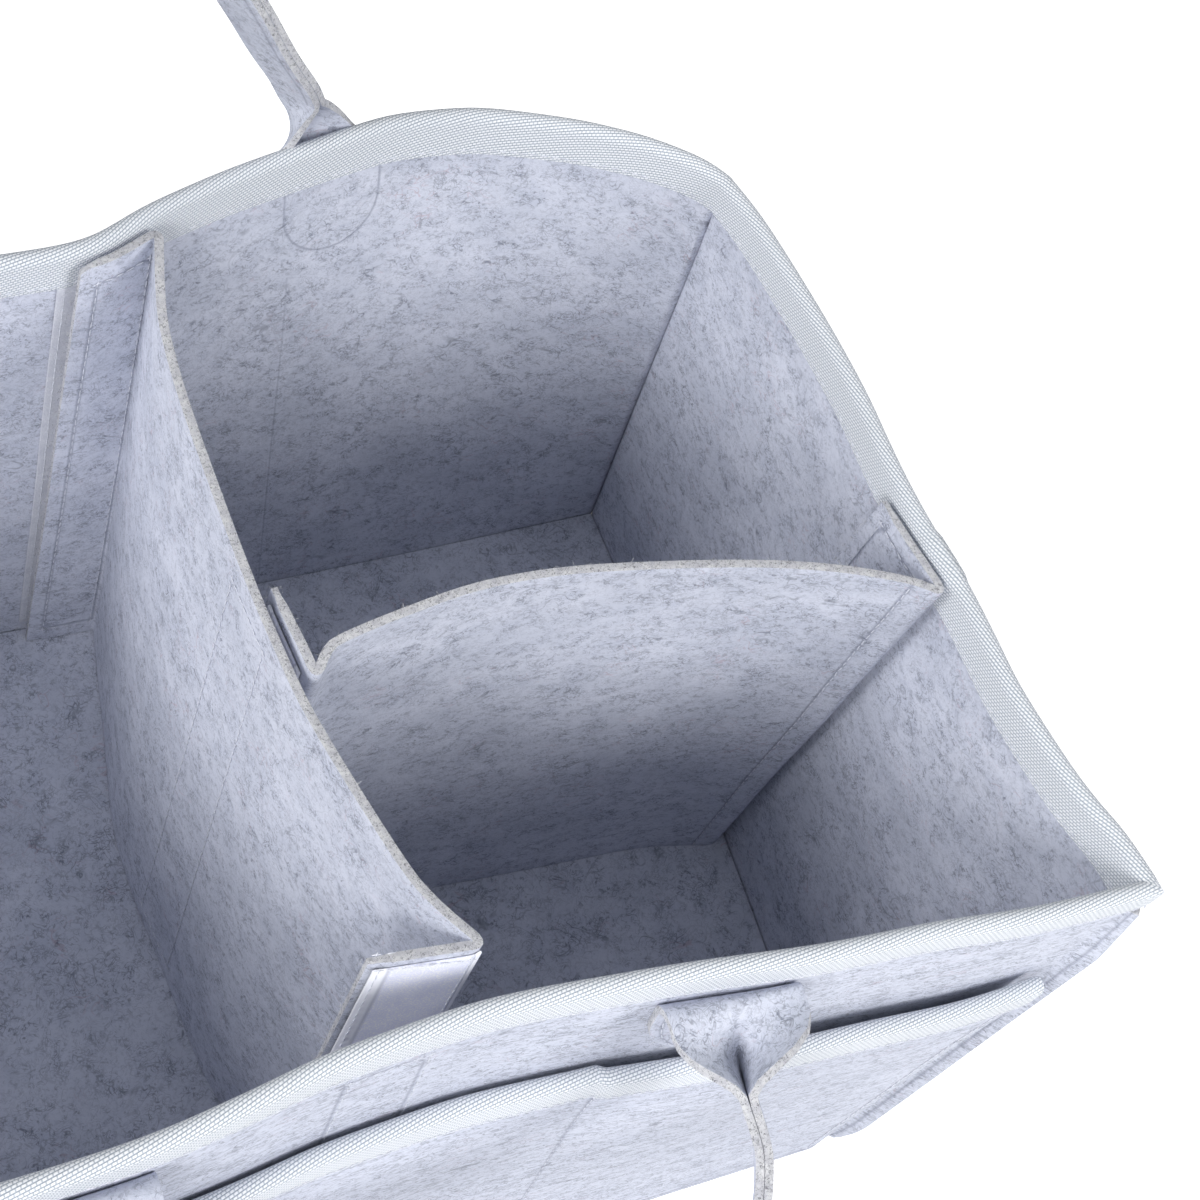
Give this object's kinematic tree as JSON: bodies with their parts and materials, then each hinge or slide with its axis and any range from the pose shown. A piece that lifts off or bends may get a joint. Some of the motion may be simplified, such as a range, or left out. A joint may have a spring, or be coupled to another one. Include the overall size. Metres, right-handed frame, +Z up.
{
  "type": "diaper caddy",
  "caption": "Open felt caddy with taped edges, outside pockets, fold-down carrying handles and lift-out dividers held by hook-and-loop tape.",
  "frame": {"origin": "on the ground under the middle of the floor panel", "axes": "+X along the long walls to the right end, +Y from the front wall to the back wall, +Z up"},
  "size_m": [0.4081, 0.3936, 0.2632],
  "materials": {
    "felt": "pressed felt, light cool grey",
    "twill_tape": "herringbone twill binding tape",
    "loop_tape": "brushed loop tape",
    "hook_tape": "woven hook tape"
  },
  "bodies": {
    "caddy_body": {"floor_panel": "felt", "front_wall": "felt", "right_end_wall": "felt", "back_wall": "felt", "left_end_wall": "felt", "rim_binding": "twill_tape", "front_pocket_panel": "felt", "back_pocket_panel": "felt", "front_pocket_binding": "twill_tape", "back_pocket_binding": "twill_tape", "front_left_handle_tongue": "felt", "front_right_handle_tongue": "felt", "back_left_handle_tongue": "felt", "back_right_handle_tongue": "felt", "back_wall_loop_strip": "loop_tape", "front_wall_loop_strip": "loop_tape", "end_wall_loop_strip": "loop_tape"},
    "front_carrying_handle": {"front_handle": "felt"},
    "back_carrying_handle": {"back_handle": "felt"},
    "cross_divider_unit": {"cross_divider": "felt", "cross_divider_loop_strip": "loop_tape", "cross_divider_back_hook_strip": "hook_tape", "cross_divider_front_hook_strip": "hook_tape"},
    "small_divider_unit": {"small_divider": "felt", "small_divider_left_hook_strip": "hook_tape", "small_divider_right_hook_strip": "hook_tape"}
  },
  "joints": [
    {"name": "front_handle_swing", "type": "hinge", "parent": "caddy_body", "child": "front_carrying_handle", "pos_m": [0, -0.11305, 0.17], "axis": [-0.9996, -0.0299, 0], "range_deg": [-24, 118]},
    {"name": "back_handle_swing", "type": "hinge", "parent": "caddy_body", "child": "back_carrying_handle", "pos_m": [-0.01, 0.15543, 0.17], "axis": [0.9775, 0.2107, 0], "range_deg": [-145, 0]},
    {"name": "cross_divider_lift", "type": "slide", "parent": "caddy_body", "child": "cross_divider_unit", "axis": [0, 0.0896, 0.996], "range_m": [0, 0.2]},
    {"name": "small_divider_lift", "type": "slide", "parent": "caddy_body", "child": "small_divider_unit", "axis": [0.0698, 0, 0.9976], "range_m": [0, 0.2]}
  ]
}
